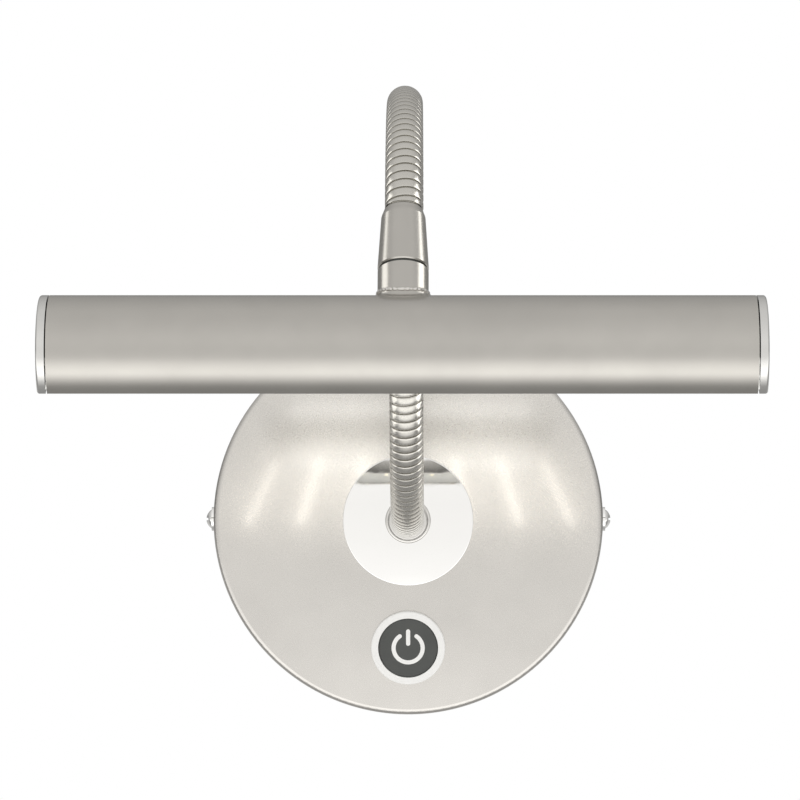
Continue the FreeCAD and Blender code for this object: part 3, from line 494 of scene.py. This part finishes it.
# ---- materials ---------------------------------------------------------------------------------------
class Shader:
    """A material's nodes, with short ways to add and join them."""

    def __init__(self, name):
        self.material = bpy.data.materials.new(name)
        self.material.use_nodes = True
        self.tree = self.material.node_tree
        self.main = self.tree.nodes["Principled BSDF"]
        self.place = self.add("ShaderNodeTexCoord").outputs["Object"]

    def add(self, kind, inputs=None, **settings):
        node = self.tree.nodes.new(kind)
        for key, value in settings.items():
            setattr(node, key, value)
        for socket, value in (inputs or {}).items():
            if isinstance(value, bpy.types.NodeSocket):
                self.tree.links.new(value, node.inputs[socket])
            else:
                node.inputs[socket].default_value = value
        return node

    def give(self, **values):
        """Set or link the main shader's sockets, with _ for a space."""
        for key, value in values.items():
            socket = self.main.inputs[key.replace("_", " ")]
            if isinstance(value, bpy.types.NodeSocket):
                self.tree.links.new(value, socket)
            else:
                socket.default_value = value

    def noise(self, size, stretch=(1, 1, 1), detail=2.0):
        """Noise whose features are about size millimetres across, stretched along some axes."""
        scale = [1 / (size * MM * part) for part in stretch]
        spot = self.add("ShaderNodeMapping", {"Vector": self.place, "Scale": scale})
        inputs = {"Vector": spot.outputs[0], "Scale": 1.0, "Detail": detail}
        return self.add("ShaderNodeTexNoise", inputs).outputs[0]

    def remap(self, value, low, high, start=0.3, end=0.7):
        return self.add("ShaderNodeMapRange", {0: value, 1: start, 2: end, 3: low, 4: high}).outputs[0]

    def blend(self, share, first, second):
        node = self.add("ShaderNodeMix", {0: share, 6: (*first, 1), 7: (*second, 1)}, data_type="RGBA")
        return node.outputs[2]

    def bump(self, height, depth, strength=1.0):
        """Bump whose full height is depth millimetres."""
        inputs = {"Height": height, "Distance": depth * MM, "Strength": strength}
        return self.add("ShaderNodeBump", inputs).outputs[0]


def metal(name, colour, roughness, spread, grain=0.3, depth=0.004, stretch=(1, 1, 1), darker=0.94):
    """Metal with a fine grain in its height and roughness and a faint cloud in its colour."""
    make = Shader(name)
    fine = make.noise(grain, stretch)
    cloud = make.noise(14, detail=3.0)
    shade = tuple(part * darker for part in colour)
    make.give(
        Base_Color=make.blend(make.remap(cloud, 0, 1), shade, colour), Metallic=1.0,
        Roughness=make.remap(fine, roughness - spread, roughness + spread), Normal=make.bump(fine, depth),
    )
    return make


def canopy_metal(name):
    """Blasted nickel under a thin clear coat, whose fine sparkle shows in the lamps' reflections."""
    make = metal(name, (0.60, 0.583, 0.556), 0.28, 0.04, grain=0.25, depth=0.0025)
    sparkle = make.noise(0.4, detail=1.0)
    make.give(Coat_Weight=1.0, Coat_IOR=1.9, Coat_Roughness=0.11, Coat_Normal=make.bump(sparkle, 0.006))
    return make


def plastic(name, colour, roughness, grain=0.25, depth=0.004, darker=0.9):
    make = Shader(name)
    fine = make.noise(grain)
    cloud = make.noise(9, detail=3.0)
    shade = tuple(part * darker for part in colour)
    make.give(
        Base_Color=make.blend(make.remap(cloud, 0, 1), shade, colour),
        Roughness=make.remap(fine, roughness - PLASTIC_SPREAD, roughness + PLASTIC_SPREAD),
        Normal=make.bump(fine, depth),
    )
    return make


def circuit_board(name, mask, trace):
    """Solder mask with slightly raised tracks running under it."""
    make = Shader(name)
    cells = make.add("ShaderNodeTexVoronoi", {"Vector": make.place, "Scale": TRACKS_PER_METRE},
                     feature="DISTANCE_TO_EDGE", distance="CHEBYCHEV").outputs[0]
    tracks = make.remap(cells, 1, 0, *TRACK_EDGE)
    make.give(Base_Color=make.blend(tracks, mask, trace), Roughness=0.35, Normal=make.bump(tracks, 0.03))
    return make


def led_glow(name, warm, strength):
    make = Shader(name)
    fine = make.noise(0.4)
    make.give(Base_Color=make.blend(make.remap(fine, 0, 1), (0.85, 0.62, 0.2), (0.95, 0.75, 0.3)),
              Roughness=0.4, Emission_Color=(*warm, 1), Emission_Strength=strength)
    return make


def lens_material(name):
    """Frosted clear plastic that lets shadow rays through."""
    make = Shader(name)
    fine = make.noise(0.35)
    make.give(Base_Color=(0.95, 0.95, 0.93, 1), Roughness=make.remap(fine, 0.3, 0.45), IOR=1.49,
              Normal=make.bump(fine, 0.01), Emission_Color=(1.0, 0.93, 0.8, 1), Emission_Strength=LENS_GLOW)
    clear = make.add("ShaderNodeBsdfTransparent", {"Color": (0.97, 0.97, 0.95, 1)})
    mixed = make.add("ShaderNodeMixShader", {0: LENS_SHARE, 1: clear.outputs[0], 2: make.main.outputs[0]})
    make.tree.links.new(mixed.outputs[0], make.tree.nodes["Material Output"].inputs[0])
    return make


def make_materials():
    """One material for each of the record's finishes, and a few variants."""
    made = {
        "satin_nickel": metal("satin_nickel", (0.50, 0.487, 0.46), 0.23, 0.04, grain=0.22, depth=0.0015),
        "canopy_nickel": canopy_metal("canopy_nickel"),
        "hose_nickel": metal("hose_nickel", (0.60, 0.588, 0.555), 0.24, 0.06, grain=0.3, depth=0.008),
        # near-black copy of the hose's nickel: painted shade in the grooves between turns and on the bare
        # core
        "hose_groove_shade": metal("hose_groove_shade", (0.075, 0.068, 0.06), 0.55, 0.1, grain=0.3, depth=0.01),
        "chrome": metal("chrome", (0.93, 0.93, 0.925), 0.05, 0.02, grain=2.0, depth=0.0004, darker=0.99),
        # darker copy of the chrome: painted shade that dims the end caps' reflection
        "cap_chrome_shaded": metal("cap_chrome_shaded", (0.68, 0.68, 0.67), 0.10, 0.03, grain=1.5, depth=0.002),
        # darker copy of the chrome: painted shade on the neck's foot, its flange and collar
        "foot_chrome_shaded": metal("foot_chrome_shaded", (0.72, 0.71, 0.69), 0.12, 0.04, grain=1.2, depth=0.006),
        "weld": metal("weld", (0.74, 0.72, 0.69), 0.16, 0.06, grain=0.9, depth=0.05),
        "zinc_steel": metal("zinc_steel", (0.56, 0.56, 0.53), 0.38, 0.1, grain=0.8, depth=0.01, darker=0.8),
        "brass": metal("brass", (0.80, 0.60, 0.30), 0.28, 0.06, darker=0.85),
        "aluminium": metal("aluminium", (0.74, 0.74, 0.75), 0.36, 0.06, stretch=(12, 1, 1)),
        "white_plastic": plastic("white_plastic", (0.95, 0.95, 0.94), 0.35, darker=0.98),
        "dark_plastic": plastic("dark_plastic", (0.072, 0.076, 0.073), 0.5, darker=0.85),
        "foam": plastic("foam", (0.62, 0.62, 0.60), 0.9, grain=0.6, depth=0.1, darker=0.7),
        "cable": plastic("cable", (0.72, 0.72, 0.70), 0.45, grain=0.5, depth=0.02),
        "circuit_board": circuit_board("circuit_board", (0.015, 0.13, 0.05), (0.05, 0.26, 0.10)),
        "board_white": circuit_board("board_white", (0.86, 0.86, 0.83), (0.74, 0.74, 0.70)),
        "led": led_glow("led", (1.0, 0.86, 0.62), 3.0),
        "lens": lens_material("lens"),
    }
    return {name: make.material for name, make in made.items()}


def paint(materials):
    """Give every CAD node the material of its record slot, then the canopy and the end caps their own."""
    for part in frame["record"]["subparts"]:
        dress(frame["nodes"][part["node"]], materials[part["material_slot"]])
    dress(frame["nodes"]["canopy_cover"], materials["canopy_nickel"])
    # the end caps take the darker chrome, painted shade that dims their reflection
    for name in ("end_cap_left", "end_cap_right"):
        dress(frame["nodes"][name], materials["cap_chrome_shaded"])


def dress(piece, material):
    piece.data.materials.clear()
    piece.data.materials.append(material)


# ---- world, floor, lights and camera -----------------------------------------------------------------
# brightness of the surroundings by angle in the plane across the tube: 0 is towards the camera, 90 is up
SKY = ((-180, 0.28), (-158, 0.62), (-140, 0.60), (-120, 0.44), (-96, 0.38), (-82, 0.45), (-71, 0.80),
       (-61, 1.30), (-51, 1.78), (-41, 1.64), (-29, 1.4), (-17, 1.03), (-7, 0.97), (3, 0.95), (14, 0.98),
       (27, 0.97), (45, 0.9), (71, 0.82), (90, 0.8), (112, 0.7), (143, 0.52), (160, 0.34), (180, 0.28))
# and its gain from the left to the right
SIDES = ((-1.0, 0.7), (-0.85, 0.85), (-0.6, 1.05), (-0.3, 1.03), (0.3, 1.02), (0.6, 1.06), (0.85, 0.85),
         (1.0, 0.7))
# a ramp's colours stop at 1, so the values are divided by this and multiplied back
RAMP_TOP = 2.0
STUDIO_TINT = (1.0, 0.985, 0.96, 1)


def ramp(tree, stops, factor):
    node = tree.nodes.new("ShaderNodeValToRGB")
    low, high = stops[0][0], stops[-1][0]
    for k, (position, value) in enumerate(stops):
        share = (position - low) / (high - low)
        stop = node.color_ramp.elements[k] if k < 2 else node.color_ramp.elements.new(share)
        stop.position = share
        level = value / RAMP_TOP
        stop.color = (level, level, level, 1)
    tree.links.new(factor, node.inputs[0])
    gain = tree.nodes.new("ShaderNodeMath")
    gain.operation = "MULTIPLY"
    gain.inputs[1].default_value = RAMP_TOP
    tree.links.new(node.outputs[0], gain.inputs[0])
    return gain.outputs[0]


def math_node(tree, operation, first, second):
    node = tree.nodes.new("ShaderNodeMath")
    node.operation = operation
    for k, value in enumerate((first, second)):
        if isinstance(value, bpy.types.NodeSocket):
            tree.links.new(value, node.inputs[k])
        else:
            node.inputs[k].default_value = value
    return node.outputs[0]


def build_world():
    """A soft studio all round that only reflections and light see; the camera sees plain white."""
    world = bpy.data.worlds.new("studio")
    bpy.context.scene.world = world
    world.use_nodes = True
    tree = world.node_tree
    tree.nodes.clear()
    place = tree.nodes.new("ShaderNodeTexCoord")
    split = tree.nodes.new("ShaderNodeSeparateXYZ")
    tree.links.new(place.outputs["Generated"], split.inputs[0])
    forward = math_node(tree, "MULTIPLY", split.outputs[1], -1)
    angle = math_node(tree, "ARCTAN2", split.outputs[2], forward)
    share = math_node(tree, "ADD", math_node(tree, "DIVIDE", angle, 2 * math.pi), 0.5)
    across = math_node(tree, "ADD", math_node(tree, "MULTIPLY", split.outputs[0], 0.5), 0.5)
    strength = math_node(tree, "MULTIPLY", ramp(tree, SKY, share), ramp(tree, SIDES, across))
    studio = tree.nodes.new("ShaderNodeBackground")
    studio.inputs[0].default_value = STUDIO_TINT
    tree.links.new(strength, studio.inputs[1])
    white = tree.nodes.new("ShaderNodeBackground")
    white.inputs[0].default_value = (1, 1, 1, 1)
    path = tree.nodes.new("ShaderNodeLightPath")
    mixed = tree.nodes.new("ShaderNodeMixShader")
    tree.links.new(path.outputs["Is Camera Ray"], mixed.inputs[0])
    tree.links.new(studio.outputs[0], mixed.inputs[1])
    tree.links.new(white.outputs[0], mixed.inputs[2])
    output = tree.nodes.new("ShaderNodeOutputWorld")
    tree.links.new(mixed.outputs[0], output.inputs[0])


def build_floor():
    """A pale floor well below, which fades into the white background."""
    corners = ((-1, -1), (1, -1), (1, 1), (-1, 1))
    mesh = bpy.data.meshes.new("floor")
    mesh.from_pydata([(FLOOR_HALF * x, FLOOR_HALF * y, FLOOR_HEIGHT) for x, y in corners], [],
                     [(0, 1, 2, 3)])
    floor = bpy.data.objects.new("floor", mesh)
    bpy.context.scene.collection.objects.link(floor)
    floor.visible_glossy = False
    make = Shader("floor")
    distance = make.add("ShaderNodeVectorMath", {0: make.place}, operation="LENGTH").outputs[1]
    fade = make.remap(distance, 0, 1, *FLOOR_FADE)
    grain = make.noise(3.0)
    make.give(Base_Color=make.blend(make.remap(grain, 0, 1), (0.93, 0.93, 0.925), (0.95, 0.95, 0.945)),
              Roughness=0.8, Emission_Color=(1, 1, 1, 1), Emission_Strength=FLOOR_GLOW)
    white = make.add("ShaderNodeEmission", {"Strength": 1.0})
    mixed = make.add("ShaderNodeMixShader", {0: fade, 1: make.main.outputs[0], 2: white.outputs[0]})
    make.tree.links.new(mixed.outputs[0], make.tree.nodes["Material Output"].inputs[0])
    mesh.materials.append(make.material)


def area_light(name, middle, turned, size, power, tint, receivers):
    """An area light that lights one collection alone and hides from the camera."""
    data = bpy.data.lights.new(name, "AREA")
    data.shape = "RECTANGLE"
    data.size, data.size_y = size
    data.energy = power
    data.color = tint
    light = bpy.data.objects.new(name, data)
    bpy.context.scene.collection.objects.link(light)
    light.visible_camera = False
    light.light_linking.receiver_collection = receivers
    light.matrix_world = Matrix.Translation(middle) @ turned
    return light


def collection_of(name, pieces):
    made = bpy.data.collections.new(name)
    for piece in pieces:
        made.objects.link(piece)
    return made


def aimed(along, out):
    """The rotation of a light whose length runs along one direction and which shines out another."""
    return Matrix((out.cross(along), along, -out)).transposed().to_4x4()


def carried_by_head(light):
    bpy.context.view_layer.update()
    place = light.matrix_world.copy()
    light.parent = frame["bodies"]["head"]
    light.matrix_world = place


def build_head_lights():
    """A narrow strip for each LED and one soft glow, carried by the head and seen by the canopy."""
    lit = collection_of("lit_by_head", [frame["nodes"]["canopy_cover"]])
    near, far = (Vector((0, -forward, height)) * MM for forward, height in (STRIP_NEAR, STRIP_FAR))
    along = (far - near).normalized()
    turned = aimed(along, Vector((1, 0, 0)).cross(along))
    size = (STRIP_WIDTH * MM, (far - near).length)
    for k in range(LED_COUNT):
        middle = (near + far) / 2 + Vector(((k - (LED_COUNT - 1) / 2) * LED_PITCH * MM, 0, 0))
        carried_by_head(area_light("led_strip_%d" % (k + 1), middle, turned, size, STRIP_POWER, WARM, lit))
    size = tuple(length * MM for length in GLOW_SIZE)
    middle = Vector((0, -GLOW_AT[0], GLOW_AT[1])) * MM
    turned = aimed(Vector((0, 0, 1)), Vector((0, 1, 0)))
    carried_by_head(area_light("head_glow", middle, turned, size, GLOW_POWER, WHITE, lit))


def build_side_lights(hose):
    """Two upright lights that give the neck, the ferrule and the stub their bright sides."""
    fittings = [frame["nodes"]["neck_ferrule"], frame["nodes"]["swivel_stub"]]
    lit = collection_of("lit_from_the_sides", hose + fittings)
    size = tuple(length * MM for length in SIDE_LIGHT_SIZE)
    for side, power in zip((-1, 1), SIDE_LIGHT_POWERS):
        middle = Vector((side * SIDE_LIGHT_X, 0, SIDE_LIGHT_HEIGHT)) * MM
        turned = aimed(Vector((0, 0, 1)), Vector((-side, 0, 0)))
        name = "side_light_left" if side < 0 else "side_light_right"
        area_light(name, middle, turned, size, power, WHITE, lit)


def build_camera():
    data = bpy.data.cameras.new("camera")
    data.lens = CAMERA_LENS
    data.sensor_width = SENSOR
    data.shift_x = CAMERA_SHIFT_X
    data.clip_start, data.clip_end = CAMERA_CLIP
    camera = bpy.data.objects.new("camera", data)
    camera.location = Vector((CAMERA_X, -CAMERA_DISTANCE, CAMERA_HEIGHT)) * MM
    camera.rotation_euler = (math.pi / 2, 0, 0)
    bpy.context.scene.collection.objects.link(camera)
    bpy.context.scene.camera = camera


def main():
    materials = make_materials()
    paint(materials)
    hose = build_hose()
    for piece in hose:
        dress(piece, materials["hose_nickel"])
        # second material: painted shade in the grooves and on the bare core
        piece.data.materials.append(materials["hose_groove_shade"])
    dress(base_fitting(), materials["foot_chrome_shaded"])
    dress(weld_bead(), materials["weld"])
    dress(switch_spring(), materials["zinc_steel"])
    build_world()
    build_floor()
    build_head_lights()
    build_side_lights(hose)
    build_camera()
    bpy.context.scene.view_settings.view_transform = "Standard"


main()
